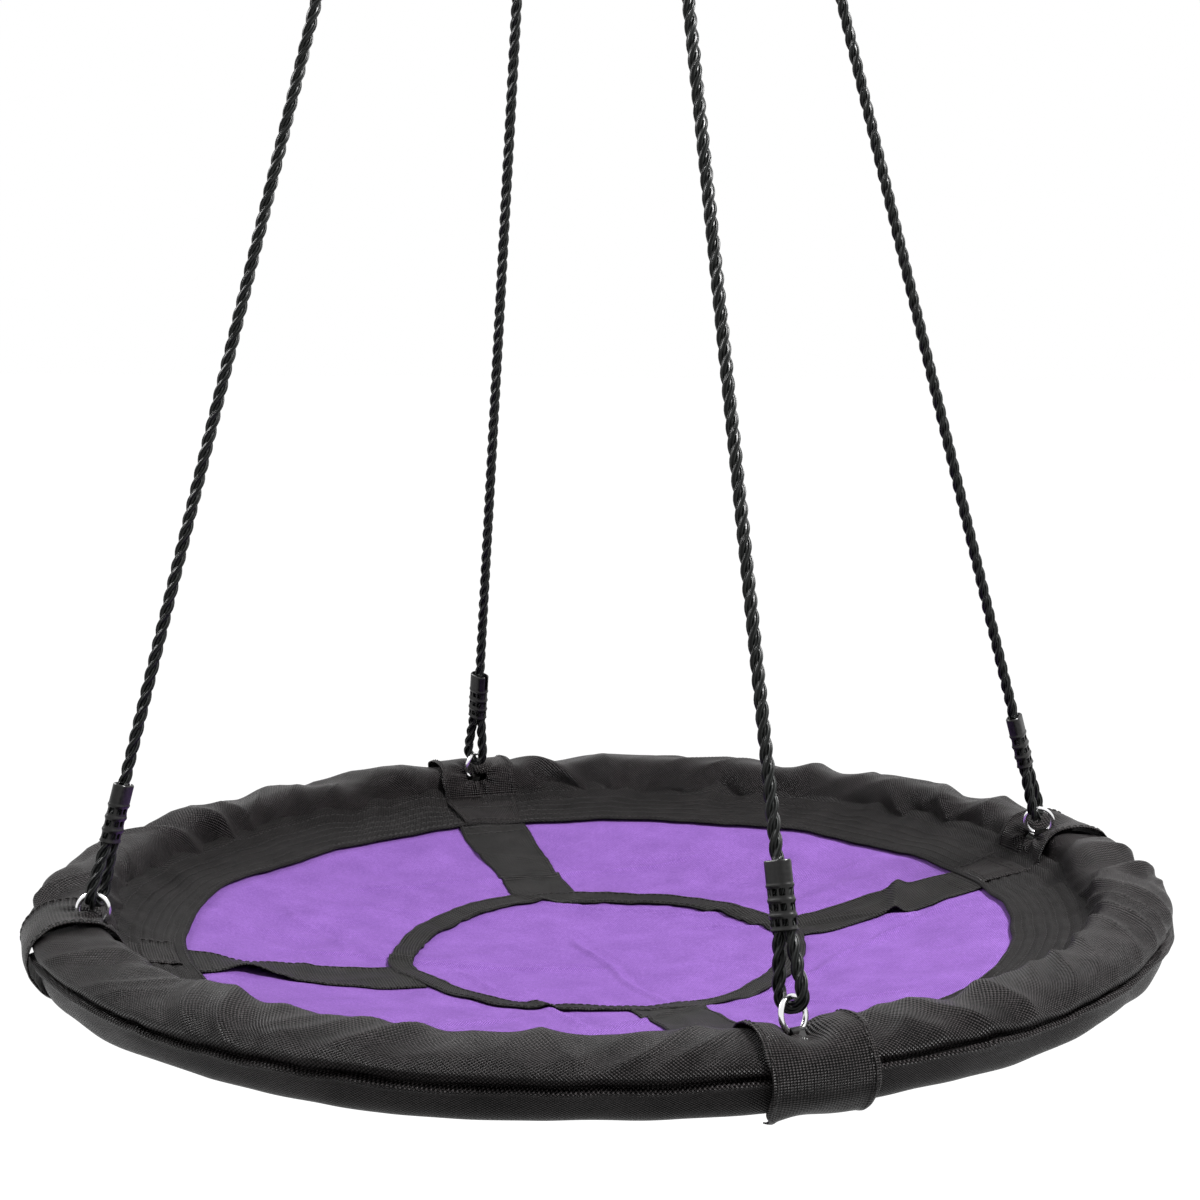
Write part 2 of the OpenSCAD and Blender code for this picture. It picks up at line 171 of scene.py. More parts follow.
def travelled(path):
    """Distance along a path at each of its points."""
    return np.concatenate([[0], np.cumsum(np.linalg.norm(np.diff(path, axis=0), axis=1))])


def grid_normals(points):
    """Unit normals of a grid of points, from its neighbours."""
    along = np.gradient(points, axis=0)
    across = np.gradient(points, axis=1)
    normal = np.cross(along, across)
    return normal / np.maximum(np.linalg.norm(normal, axis=2, keepdims=True), TINY)


def cloth_piece(name, points, uvs, thick, keep=None):
    """A sheet with two faces and an edge. points is n by m by 3, and its normals point outwards.

    keep, n-1 by m-1, says which quads stay."""
    n, m = points.shape[:2]
    back = points - grid_normals(points) * thick
    verts = np.concatenate([points.reshape(-1, 3), back.reshape(-1, 3)])
    count = n * m
    keep = np.ones((n - 1, m - 1), bool) if keep is None else keep
    faces = []
    for i in range(n - 1):
        for j in range(m - 1):
            if not keep[i, j]:
                continue
            a, b, c, d = i * m + j, (i + 1) * m + j, (i + 1) * m + j + 1, i * m + j + 1
            faces.append((a, b, c, d))
            faces.append((count + d, count + c, count + b, count + a))
            sides = (((i, j - 1), a, b), ((i + 1, j), b, c),
                     ((i, j + 1), c, d), ((i - 1, j), d, a))
            for (p, q), v, w in sides:
                if not (0 <= p < n - 1 and 0 <= q < m - 1 and keep[p, q]):
                    faces.append((w, v, count + v, count + w))
    made = new_object(name, verts, faces, np.concatenate([uvs.reshape(-1, 2)] * 2))
    drop_loose(made)
    return made


def drop_loose(made):
    """Deletes the vertices that no face uses."""
    work = bmesh.new()
    work.from_mesh(made.data)
    bmesh.ops.delete(work, geom=[v for v in work.verts if not v.link_faces], context="VERTS")
    work.to_mesh(made.data)
    work.free()


def joined(name, parts):
    """One object from several, which are removed."""
    verts, faces, uvs = [], [], []
    for part in parts:
        start = len(verts)
        mesh = part.data
        pair = {}
        for loop in mesh.loops:
            pair[loop.vertex_index] = tuple(mesh.uv_layers[0].data[loop.index].uv)
        verts += [tuple(part.matrix_world @ v.co) for v in mesh.vertices]
        uvs += [pair.get(k, (0, 0)) for k in range(len(mesh.vertices))]
        faces += [[start + v for v in f.vertices] for f in mesh.polygons]
        bpy.data.objects.remove(part)
    return new_object(name, verts, faces, uvs)


def wave(x, y, seed, size):
    """Smooth noise from -1 to 1 on arrays, with features of about that size."""
    flat = [noise.noise(Vector((a / size, b / size, seed * 7.31)))
            for a, b in zip(np.ravel(x), np.ravel(y))]
    return np.asarray(flat).reshape(np.shape(x))


def bump(x, width):
    """1 at zero, falling smoothly to nothing at a few widths."""
    return np.exp(-(x / width) ** 2)


def step(x, low, high):
    """0 below low, 1 above high, and smooth between."""
    t = np.clip((x - low) / (high - low), 0, 1)
    return t * t * (3 - 2 * t)


def wire_ring(name, path, radius, sides):
    """A round wire along a closed path. radius holds one number for each point."""
    path = np.asarray(path, float)
    n = len(path)
    _, side, other = path_frames(path, closed=True)
    angle = np.arange(sides) * 2 * math.pi / sides
    ring = (side[:, None] * np.cos(angle)[None, :, None]
            + other[:, None] * np.sin(angle)[None, :, None])
    points = path[:, None] + ring * radius[:, None, None]
    uvs = np.stack(np.broadcast_arrays(travelled(path)[:, None], angle[None] * radius.mean()),
                   axis=2)
    faces = grid_faces(n, sides, closed=True, flip=True)
    last = (n - 1) * sides
    for j in range(sides):
        k = (j + 1) % sides
        faces.append((last + j, last + k, k, j))
    return new_object(name, points.reshape(-1, 3), faces, uvs.reshape(-1, 2))


def path_frames(path, closed=False):
    """Tangent and two normals at each point, carried along without twist."""
    if closed:
        tangent = np.roll(path, -1, axis=0) - np.roll(path, 1, axis=0)
    else:
        tangent = np.gradient(path, axis=0)
    tangent /= np.linalg.norm(tangent, axis=1, keepdims=True)
    start = np.array([0, 1.0, 0]) if abs(tangent[0][1]) < 0.9 else np.array([1.0, 0, 0])
    side = np.zeros_like(path)
    for k, t in enumerate(tangent):
        last = start if k == 0 else side[k - 1]
        flat = last - t * np.dot(last, t)
        side[k] = flat / np.linalg.norm(flat)
    return tangent, side, np.cross(tangent, side)


# ---------------------------------------------------------------- materials
def base_material(name, colour, roughness, metallic=0.0, specular=0.5):
    """A Principled material, with its shader and its node tree."""
    made = bpy.data.materials.new(name)
    made.use_nodes = True
    shader = made.node_tree.nodes["Principled BSDF"]
    shader.inputs["Base Color"].default_value = (*colour, 1)
    shader.inputs["Roughness"].default_value = roughness
    shader.inputs["Metallic"].default_value = metallic
    shader.inputs["Specular IOR Level"].default_value = specular
    return made, shader, made.node_tree


def math_node(tree, kind, a, b=None):
    """The result of a Math node. a and b are numbers or sockets."""
    node = tree.nodes.new("ShaderNodeMath")
    node.operation = kind
    for k, value in enumerate((a, b)):
        if value is None:
            continue
        if isinstance(value, (int, float)):
            node.inputs[k].default_value = value
        else:
            tree.links.new(value, node.inputs[k])
    return node.outputs[0]


def noise_node(tree, vector, size, detail):
    """Noise with features of about that size, in metres."""
    node = tree.nodes.new("ShaderNodeTexNoise")
    node.inputs["Scale"].default_value = 1 / size
    node.inputs["Detail"].default_value = detail
    tree.links.new(vector, node.inputs["Vector"])
    return node.outputs["Fac"]


def ramp(tree, value, low, high, dark, light):
    """A colour between dark and light as value goes from low to high."""
    node = tree.nodes.new("ShaderNodeMapRange")
    node.interpolation_type = "SMOOTHSTEP"
    node.inputs["From Min"].default_value = low
    node.inputs["From Max"].default_value = high
    tree.links.new(value, node.inputs["Value"])
    mix = tree.nodes.new("ShaderNodeMix")
    mix.data_type = "RGBA"
    mix.inputs["A"].default_value = (*dark, 1)
    mix.inputs["B"].default_value = (*light, 1)
    tree.links.new(node.outputs[0], mix.inputs["Factor"])
    return mix.outputs["Result"]


def add_bump(tree, shader, height, distance, strength=1.0):
    """Lets a height drive the shader's normal."""
    node = tree.nodes.new("ShaderNodeBump")
    node.inputs["Distance"].default_value = distance
    node.inputs["Strength"].default_value = strength
    tree.links.new(height, node.inputs["Height"])
    tree.links.new(node.outputs["Normal"], shader.inputs["Normal"])


def woven(name, dark, light, pitch, tilt, roughness, specular, depth, ribs=0.0):
    """Plain woven cloth: raised crossings at that pitch on the UV map, which is in metres.

    dark and light are the cloth's darkest and lightest colour: dark is painted shade in the gaps of
    the weave, light a painted highlight on the crossings' tops. tilt turns the weave by that many
    degrees. ribs from 0 to 1 turns the weave into webbing's cross ribs."""
    made, shader, tree = base_material(name, light, roughness, 0, specular)
    uv = tree.nodes.new("ShaderNodeUVMap")
    turn = tree.nodes.new("ShaderNodeMapping")
    turn.inputs["Rotation"].default_value = (0, 0, math.radians(tilt))
    tree.links.new(uv.outputs[0], turn.inputs["Vector"])
    split = tree.nodes.new("ShaderNodeSeparateXYZ")
    tree.links.new(turn.outputs[0], split.inputs[0])
    turns = 2 * math.pi / pitch
    across = math_node(tree, "SINE", math_node(tree, "MULTIPLY", split.outputs[0], turns))
    along = math_node(tree, "SINE", math_node(tree, "MULTIPLY", split.outputs[1], turns))
    crossing = math_node(tree, "MULTIPLY", across, along)
    height = math_node(tree, "ADD", math_node(tree, "MULTIPLY", crossing, 1 - ribs),
                       math_node(tree, "MULTIPLY", across, ribs))
    where = tree.nodes.new("ShaderNodeTexCoord")
    patch = noise_node(tree, where.outputs["Object"], 0.03, 3)
    grain = noise_node(tree, where.outputs["Object"], 0.0022, 1)
    mottle = math_node(tree, "ADD", math_node(tree, "MULTIPLY", patch, 0.7),
                       math_node(tree, "MULTIPLY", grain, 0.9))
    # Painted light and shade: the weave's height makes the crossings' tops lighter and the gaps
    # darker; the patch and grain noise is the cloth's own uneven tone.
    shade = math_node(tree, "ADD", math_node(tree, "MULTIPLY", height, 0.8), mottle)
    tree.links.new(ramp(tree, shade, 0.60, 1.60, dark, light), shader.inputs["Base Color"])
    add_bump(tree, shader, height, depth)
    return made


def rope_material():
    """Black rope fibre with fine yarns, each yarn's crest painted lighter as a highlight."""
    made, shader, tree = base_material("rope_fibre", (0.01, 0.01, 0.01), 0.33, 0, 0.16)
    uv = tree.nodes.new("ShaderNodeUVMap")
    split = tree.nodes.new("ShaderNodeSeparateXYZ")
    tree.links.new(uv.outputs[0], split.inputs[0])
    # yarns run along each strand at a slant: u is metres along, v is turns round the rope
    yarns_round, yarn_pitch = 3 * 4, 0.0075
    slant = math_node(tree, "ADD",
                      math_node(tree, "MULTIPLY", split.outputs[1], yarns_round * 2 * math.pi),
                      math_node(tree, "MULTIPLY", split.outputs[0], 2 * math.pi / yarn_pitch))
    yarn = math_node(tree, "SINE", slant)
    where = tree.nodes.new("ShaderNodeTexCoord")
    grain = noise_node(tree, where.outputs["Object"], 0.002, 2)
    # Painted highlight and shade: the yarns' crests are lighter and the grooves between them
    # darker; the grain noise is the fibre's own uneven tone.
    shade = math_node(tree, "ADD", math_node(tree, "MULTIPLY", yarn, 0.42), grain)
    dark, light = (0.0006, 0.0008, 0.0007), (0.0125, 0.0138, 0.0132)
    tree.links.new(ramp(tree, shade, 0.25, 1.0, dark, light), shader.inputs["Base Color"])
    add_bump(tree, shader, yarn, 0.0004, 0.8)
    return made


def plain(name, colour, roughness, metallic=0.0, grain=0.0, size=0.002, specular=0.5):
    """One colour. grain mottles it by that share, in specks of about that size."""
    made, shader, tree = base_material(name, colour, roughness, metallic, specular)
    if grain:
        where = tree.nodes.new("ShaderNodeTexCoord")
        speck = noise_node(tree, where.outputs["Object"], size, 3)
        dark = tuple(c * (1 - grain) for c in colour)
        light = tuple(min(1, c * (1 + grain)) for c in colour)
        tree.links.new(ramp(tree, speck, 0.3, 0.7, dark, light), shader.inputs["Base Color"])
        add_bump(tree, shader, speck, 0.0001, 0.5)
    return made


# In each woven cloth the dark colour is painted shade in the weave's gaps and the light colour a
# painted highlight on its crossings.
RIM_CLOTH = woven("rim_cloth", (0.0003, 0.0002, 0.0002), (0.0310, 0.0270, 0.0276),
                  pitch=0.0031, tilt=4, roughness=0.36, specular=0.10, depth=0.0009)
PATCH_CLOTH = woven("patch_cloth", (0.0003, 0.0002, 0.0002), (0.0320, 0.0280, 0.0282),
                    pitch=0.0032, tilt=45, roughness=0.36, specular=0.10, depth=0.0009)
SKIRT_CLOTH = woven("skirt_cloth", (0.0005, 0.0004, 0.0004), (0.0200, 0.0180, 0.0180),
                    pitch=0.0024, tilt=20, roughness=0.48, specular=0.08, depth=0.0006)
PURPLE_CLOTH = woven("purple_cloth", (0.072, 0.0300, 0.134), (0.168, 0.0800, 0.282),
                     pitch=0.0022, tilt=40, roughness=0.8, specular=0.1, depth=0.0003)
WEBBING = woven("webbing", (0.0008, 0.0007, 0.0006), (0.0175, 0.0160, 0.0158),
                pitch=0.0026, tilt=90, roughness=0.45, specular=0.09, depth=0.0006, ribs=0.6)
THREAD = plain("thread", (0.013, 0.012, 0.012), 0.5, specular=0.15)
ROPE = rope_material()
CLAMP_PLASTIC = plain("clamp_plastic", (0.0060, 0.0058, 0.0058), 0.30, grain=0.4, size=0.003,
                      specular=0.26)
BRIGHT_STEEL = plain("bright_steel", (0.86, 0.86, 0.87), 0.16, 1.0)
ZINC_STEEL = plain("zinc_steel", (0.40, 0.41, 0.43), 0.32, 1.0, grain=0.10, size=0.004)
TUBE_STEEL = plain("tube_steel", (0.50, 0.51, 0.53), 0.45, 1.0, grain=0.08, size=0.02)
FOAM = plain("foam", (0.70, 0.70, 0.68), 0.95, grain=0.1, size=0.004)


def dress(piece, body, material, slot, *nodes):
    """Finishes a new piece: its material, the body it rides on and what it stands for, which is
    hidden. slot is not used.
    """
    piece.data.materials.clear()
    piece.data.materials.append(material)
    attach(piece, body)
    if nodes:
        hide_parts(*nodes)
    return piece


def repaint(node, material):
    """Gives a CAD node that keeps its shape a better material."""
    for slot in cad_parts[node].material_slots:
        slot.link = "OBJECT"
        slot.material = material


# ---------------------------------------------------------------- stitches
THREAD_ROWS = []       # lines of thread, gathered from every sewn piece


def sew(points, lift=0.0003):
    """Remembers a line of thread along points, which lie on a surface."""
    THREAD_ROWS.append(np.asarray(points, float) + np.array([0, 0, lift]))


def stitching(name, length=0.0042, gap=0.0022, thick=0.00045):
    """All lines of thread as one piece of short dashes, thinner at both ends."""
    sides = 5
    stations = np.array([0, 0.15, 0.85, 1.0])
    girth = np.array([0.3, 1, 1, 0.3]) * thick
    angle = np.arange(sides) * 2 * math.pi / sides
    verts, faces = [], []
    for row in THREAD_ROWS:
        run = travelled(row)
        for first in np.arange(gap, run[-1] - length, length + gap):
            a, b = (np.array([np.interp(d, run, row[:, k]) for k in range(3)])
                    for d in (first, first + length))
            ahead = (b - a) / np.linalg.norm(b - a)
            side = np.cross(ahead, (0, 0, 1.0))
            side /= max(np.linalg.norm(side), 1e-9)
            up = np.cross(side, ahead)
            ring = side[None] * np.cos(angle)[:, None] + up[None] * np.sin(angle)[:, None]
            start = len(verts)
            for t, g in zip(stations, girth):
                verts += list(a + (b - a) * t + ring * g)
            faces += grid_faces(len(stations), sides, start, closed=True, flip=True)
            faces += end_caps(len(stations), sides, start)
    made = new_object(name, verts, faces, np.zeros((len(verts), 2)))
    return dress(made, "seat", THREAD, "webbing")


# ---------------------------------------------------------------- ropes
def rope_low(i):
    """The top of seat ring i, where the rope's line starts."""
    a = math.radians(CORNERS[i])
    return Vector((EYE_R * math.cos(a), EYE_R * math.sin(a), RIM_Z + EYE_Z))


def rope_top(i):
    """Where the rope's line ends, on the link's bar."""
    return Vector((BAR_STEP[i] * ROPE_PITCH, 0, BAR_Z))


def along_rope(i, distance=0.0, face=None):
    """The frame at a distance up rope i. Its X lies along a compass direction, if one is given."""
    run = rope_top(i) - rope_low(i)
    lean = math.acos(run.z / run.length)
    way = math.atan2(run.y, run.x)
    made = (Matrix.Translation(rope_low(i)) @ Matrix.Rotation(way, 4, "Z")
            @ Matrix.Rotation(lean, 4, "Y") @ Matrix.Translation((0, 0, distance)))
    if face is not None:
        off = math.radians(face) - way
        spin = math.atan2(math.sin(off), math.cos(lean) * math.cos(off))
        made = made @ Matrix.Rotation(spin, 4, "Z")
    return made


def rope_length(i):
    return (rope_top(i) - rope_low(i)).length


def spaced(corners, gap):
    """Points a small gap apart along straight pieces."""
    points = [Vector(corners[0])]
    for a, b in zip(corners, corners[1:]):
        a, b = Vector(a), Vector(b)
        count = max(1, round((b - a).length / gap))
        points += [a.lerp(b, (k + 1) / count) for k in range(count)]
    return points


LEG_X = ROPE_D / 2 + 0.0001            # from the rope's line to each leg of a loop


def loop_path(bend, lift, length, place):
    """The rope's centreline round one end, from one leg's top to the other's."""
    straight, steps = 0.003, 28
    rise = length - straight - lift
    touch = math.atan2(LEG_X, rise) + math.acos(bend / math.hypot(LEG_X, rise))
    arc = [math.pi / 2 + touch + (2 * math.pi - 2 * touch) * k / steps for k in range(steps + 1)]
    corners = [(-LEG_X, 0, length), (-LEG_X, 0, length - straight)]
    corners += [(bend * math.cos(a), 0, lift + bend * math.sin(a)) for a in arc]
    corners += [(LEG_X, 0, length - straight), (LEG_X, 0, length)]
    return [place @ p for p in spaced(corners, 0.0012)]


LAY = 0.040            # one turn of the rope's strands
STRAND = 12            # points round each of the three strands


def twisted(name, path, phase=0.0, size=ROPE_D):
    """Three-strand rope along a path: a lobed section that turns once in each lay."""
    path = np.asarray([tuple(p) for p in path])
    _, side, other = path_frames(path)
    length = travelled(path)
    sides = 3 * STRAND
    angle = np.arange(sides) * 2 * math.pi / sides
    off = (angle + math.pi / 3) % (2 * math.pi / 3) - math.pi / 3
    r, offset = 0.49 * size / 2, 0.51 * size / 2
    radius = offset * np.cos(off) + np.sqrt(np.maximum(r**2 - (offset * np.sin(off)) ** 2, 0))
    turn = angle[None] + phase + 2 * math.pi * length[:, None] / LAY
    fuzz = 1 + 0.02 * wave(np.broadcast_to(length[:, None], turn.shape),
                           np.broadcast_to(angle[None], turn.shape) * 0.01, 3 + phase, 0.006)
    reach = radius[None] * fuzz
    points = (path[:, None] + side[:, None] * (np.cos(turn) * reach)[:, :, None]
              + other[:, None] * (np.sin(turn) * reach)[:, :, None])
    uvs = np.stack(np.broadcast_arrays(length[:, None], angle[None] / (2 * math.pi)), axis=2)
    faces = grid_faces(len(path), sides, closed=True, flip=True) + end_caps(len(path), sides)
    return new_object(name, points.reshape(-1, 3), faces, uvs.reshape(-1, 2))


def ropes():
    """Each rope as three cords: its line, its loop through the ring and its loop round the bar."""
    lift = LOW_BEND - ROPE_D / 2 - RING_WIRE / 2 - CLEAR
    for i in range(4):
        k = i + 1
        start, end = LOW_LOOP + CLAMP_L, rope_length(i) - TOP_LOOP - CLAMP_L
        low, high = (along_rope(i, d).translation for d in (start, end))
        line = spaced([low, high], 0.0028)
        low_loop = loop_path(LOW_BEND, lift, LOW_LOOP, along_rope(i, 0, LOOP_FACE[i]))
        turned = along_rope(i, rope_length(i), BAR_FACE) @ Matrix.Rotation(math.pi, 4, "X")
        top_loop = loop_path(TOP_BEND, 0, TOP_LOOP, turned)
        for name, path, phase, node in ((f"rope_line_{k}", line, i * 1.7, f"rope_{k}"),
                                        (f"ring_loop_{k}", low_loop, i * 0.9, f"low_loop_{k}"),
                                        (f"bar_loop_{k}", top_loop, i * 2.3, f"top_loop_{k}")):
            piece = dress(twisted(name, path, phase), "seat", ROPE, "rope", node)


ropes()


# ---------------------------------------------------------------- clamps
def oval(angle, width, depth):
    """A point on a stadium outline of that width and depth."""
    r = depth / 2
    flat = (width - depth) / 2
    x = r * np.cos(angle) + flat * np.tanh(5 * np.cos(angle))
    return np.stack([x, r * np.sin(angle)], axis=-1)


def rounded_box(name, size, place, radius):
    """A box of that size with its edges rounded, in place."""
    work = bmesh.new()
    bmesh.ops.create_cube(work, size=1, matrix=Matrix.Diagonal((*size, 1)))
    bmesh.ops.bevel(work, geom=list(work.edges), offset=radius, segments=3, affect="EDGES",
                    profile=0.5)
    work.transform(place)
    mesh = bpy.data.meshes.new(name)
    work.to_mesh(mesh)
    work.free()
    made = bpy.data.objects.new(name, mesh)
    bpy.context.collection.objects.link(made)
    return made


def clamp_mesh():
    """The moulded clamp, from its rope legs at z = 0 to its collar: a tube with rows of windows."""
    rows, wall, points_round = 3, 0.0019, 72
    ends = 0.0012                              # height of the rounding at each end
    collar = CLAMP_L * 0.64
    row = collar / rows
    heights = np.concatenate([[0, ends / 2], np.linspace(ends, CLAMP_L - ends, 60),
                              [CLAMP_L - ends / 2, CLAMP_L]])
    angle = np.arange(points_round) * 2 * math.pi / points_round
    grow = []
    for z in heights:
        near = abs((z + row / 2) % row - row / 2)          # distance from a rib between rows
        rib = 0.0009 * math.exp(-(near / 0.0016) ** 2) if z < collar + 0.001 else 0.0003
        rounding = 0.0008 * max(0, 1 - min(z, CLAMP_L - z) / ends) ** 2
        grow.append(rib - rounding - 0.0004)
    outer = np.array([np.column_stack([oval(angle, CLAMP_W + 2 * g, CLAMP_T + 2 * g),
                                       np.full(points_round, z)]) for z, g in zip(heights, grow)])
    inner = np.array([np.column_stack([oval(angle, CLAMP_W - 2 * wall, CLAMP_T - 2 * wall),
                                       np.full(points_round, z)]) for z in heights])
    verts = np.concatenate([outer.reshape(-1, 3), inner.reshape(-1, 3)])
    made = new_object("clamp_shell", verts, hollow_faces(*outer.shape[:2]), verts[:, :2])
    face_window, edge_window = (0.0046, 0.006, row * 0.5), (0.006, 0.0050, row * 0.5)
    window_gap, corner = 0.0062, 0.0009
    cutters = []
    for level in range(rows):
        z = row * (level + 0.56)
        for side in (-1, 1):
            for x in (-window_gap, 0, window_gap):
                place = Matrix.Translation((x, side * CLAMP_T / 2, z))
                cutters.append(rounded_box("cut", face_window, place, corner))
        for side in (-1, 1):
            place = Matrix.Translation((side * CLAMP_W / 2, 0, z))
            cutters.append(rounded_box("cut", edge_window, place, corner))
    collar_slot = (0.008, 0.0042, 2 * (CLAMP_L - collar - 0.002))
    place = Matrix.Translation((CLAMP_W / 2, 0, CLAMP_L))
    cutters.append(rounded_box("cut", collar_slot, place, 0.0012))
    for cutter in cutters:
        tool = made.modifiers.new("window", "BOOLEAN")
        tool.object = cutter
        tool.solver = "EXACT"
    graph = bpy.context.evaluated_depsgraph_get()
    mesh = bpy.data.meshes.new_from_object(made.evaluated_get(graph))
    for thing in [made, *cutters]:
        bpy.data.objects.remove(thing)
    mesh.polygons.foreach_set("use_smooth", [True] * len(mesh.polygons))
    mesh.set_sharp_from_angle(angle=math.radians(38))
    return mesh


def clamps():
    """Eight clamps, each with three rope legs inside it and the rope's end in its collar."""
    shell = clamp_mesh()
    size = ROPE_D * 0.97
    half_turn = Matrix.Rotation(math.pi, 4, "X")
    for i in range(4):
        top = rope_length(i) - TOP_LOOP
        places = {"low": along_rope(i, LOW_LOOP, LOOP_FACE[i]),
                  "top": along_rope(i, top, BAR_FACE) @ half_turn}
        for end, place in places.items():
            piece = bpy.data.objects.new(f"{end}_clamp_body_{i + 1}", shell.copy())
            piece.data.transform(place @ Matrix.Rotation(math.pi * (i == 3), 4, "Z"))
            bpy.context.collection.objects.link(piece)
            dress(piece, "seat", CLAMP_PLASTIC, "clamp_plastic", f"{end}_clamp_{i + 1}")
            inside = []
            for x in (-LEG_X, 0, LEG_X):
                leg = spaced([(x, 0, -0.0005), (x, 0, CLAMP_L * 0.70)], 0.002)
                inside.append(twisted("leg", [place @ p for p in leg], 1 + x * 300, size))
            stub = spaced([(0, 0, CLAMP_L * 0.62), (0, 0, CLAMP_L + 0.001)], 0.002)
            inside.append(twisted("leg", [place @ p for p in stub], 0, size))
            dress(joined(f"{end}_clamp_rope_{i + 1}", inside), "seat", ROPE, "rope")


clamps()


# ---------------------------------------------------------------- rings and steel
def seat_rings():
    """Welded rings, a little thicker where the weld is."""
    centre_r = (RING_D - RING_WIRE) / 2
    for i in range(4):
        place = along_rope(i, -centre_r, RING_FACE[i])
        angle = np.arange(96) * 2 * math.pi / 96
        bead = 0.0002 * bump(angle - 4.4, 0.08)
        path = [place @ Vector((centre_r * math.cos(a), 0, centre_r * math.sin(a))) for a in angle]
        piece = wire_ring(f"ring_{i + 1}", [tuple(p) for p in path], RING_WIRE / 2 + bead, 24)
        dress(piece, "seat", BRIGHT_STEEL, "ring_steel", f"seat_ring_{i + 1}")


seat_rings()
for node in ("carabiner_body", "carabiner_gate", "hanging_link"):
    repaint(node, ZINC_STEEL)
for node in ("gate_pin", "gate_spring", "joint_pins", *[f"frame_tube_{k}" for k in range(1, 5)]):
    repaint(node, TUBE_STEEL)
for k in range(1, 5):
    repaint(f"anchor_strap_{k}", WEBBING)


# ---------------------------------------------------------------- rim
def section(phi, grow=0.0):
    """The rim's section at angle phi: radial and vertical distance from the tube's centre."""
    r = PAD_R + grow
    return r * np.cos(phi) + PAD_FLAT * np.tanh(3 * np.cos(phi)), r * np.sin(phi)


def on_rim(theta, radial, height):
    """The point at angle theta of the rim, that far out from the tube's centre and above it."""
    return np.stack([(RING_R + radial) * np.cos(theta), (RING_R + radial) * np.sin(theta),
                     RIM_Z + height], axis=-1)


SEAM = math.radians(15)                # angle of the seam on the outer side
SECTION_R = 0.0365                     # metres of cloth for each radian round the section
TOP_R = 0.034                          # the same near the top, where the rings come through
DEEPEST = 0.0085                       # how far in a fold may reach, so that it clears the foam


def around(phi, centre):
    """Signed angle from centre to phi, from -pi to pi."""
    return (phi - centre + math.pi) % (2 * math.pi) - math.pi


def rim_folds(theta, phi, seed):
    """How far the cover stands proud of the smooth rim: panels, lumps, folds and the seam.

    The folds die out under the patches at both ends of a cover."""
    a = theta * RING_R
    from_end = np.minimum(a - a.min(), a.max() - a)
    free = 0.15 + 0.85 * step(from_end, 0.012, 0.055)
    drift = wave(a, a * 0, seed + 1, 0.16)
    top = step(np.cos(around(phi, math.radians(118))), -0.35, 0.55)     # upper and inner side
    panel = 0.0018 * np.cos(4 * around(phi, math.radians(30)))    # flatter each side of the seam
    lumps = 0.0032 * wave(a, phi * 0.045, seed, 0.085)
    skew = a + 0.042 * (phi - 1.7) * (0.6 + drift)
    broad = wave(skew, phi * 0.014, seed + 2, 0.062)
    ridge = 1 - 2.6 * np.sqrt(broad**2 + 0.0015)
    counter = wave(a - 0.045 * (phi - 1.7), phi * 0.012, seed + 3, 0.045)
    cross = 1 - 2.6 * np.sqrt(counter**2 + 0.001)
    strength = 0.15 + 0.85 * step(wave(a, phi * 0.03, seed + 4, 0.13), -0.25, 0.30)
    inner = step(phi, 1.4, 3.0) * step(-phi, -4.4, -3.7)
    folds = top * (strength * 0.0090 * ridge + (1.1 - strength) * 0.0044 * cross)
    gathers = inner * 0.0022 * wave(skew, phi * 0.006, seed + 5, 0.026)
    low = 1 - step(np.cos(around(phi, math.radians(90))), -0.3, 0.3)
    ripples = low * 0.0022 * wave(a, phi * 0.03, seed + 6, 0.05)
    # The seam: a groove under the upper panel, and the lower panel's hem standing proud below it.
    notch = 0.20 * np.maximum(0, wave(a, a * 0, seed + 9, 0.035) - 0.38)
    line = (SEAM + 0.10 * wave(a, a * 0, seed + 7, 0.12) + 0.05 * wave(a, a * 0, seed + 8, 0.03)
            + notch)
    past = around(phi, 0.0) - line
    roll = 0.0016 * bump(past - 0.26, 0.16)
    slot = -0.0080 * bump(past, 0.062) * (0.8 + 0.5 * wave(a, a * 0, seed + 12, 0.07))
    lip = 0.0044 * bump(past + 0.17, 0.10) * (0.75 + 0.5 * wave(a, a * 0, seed + 11, 0.05))
    soft = np.maximum(free * (lumps + folds + gathers + ripples), -DEEPEST)
    return panel + soft + roll + slot + lip - 0.0030


def section_angles(count):
    """Angles round the section, closer together at the seam."""
    even = np.linspace(0, 2 * math.pi, count, endpoint=False)
    return SEAM + even - 0.55 * np.sin(even)


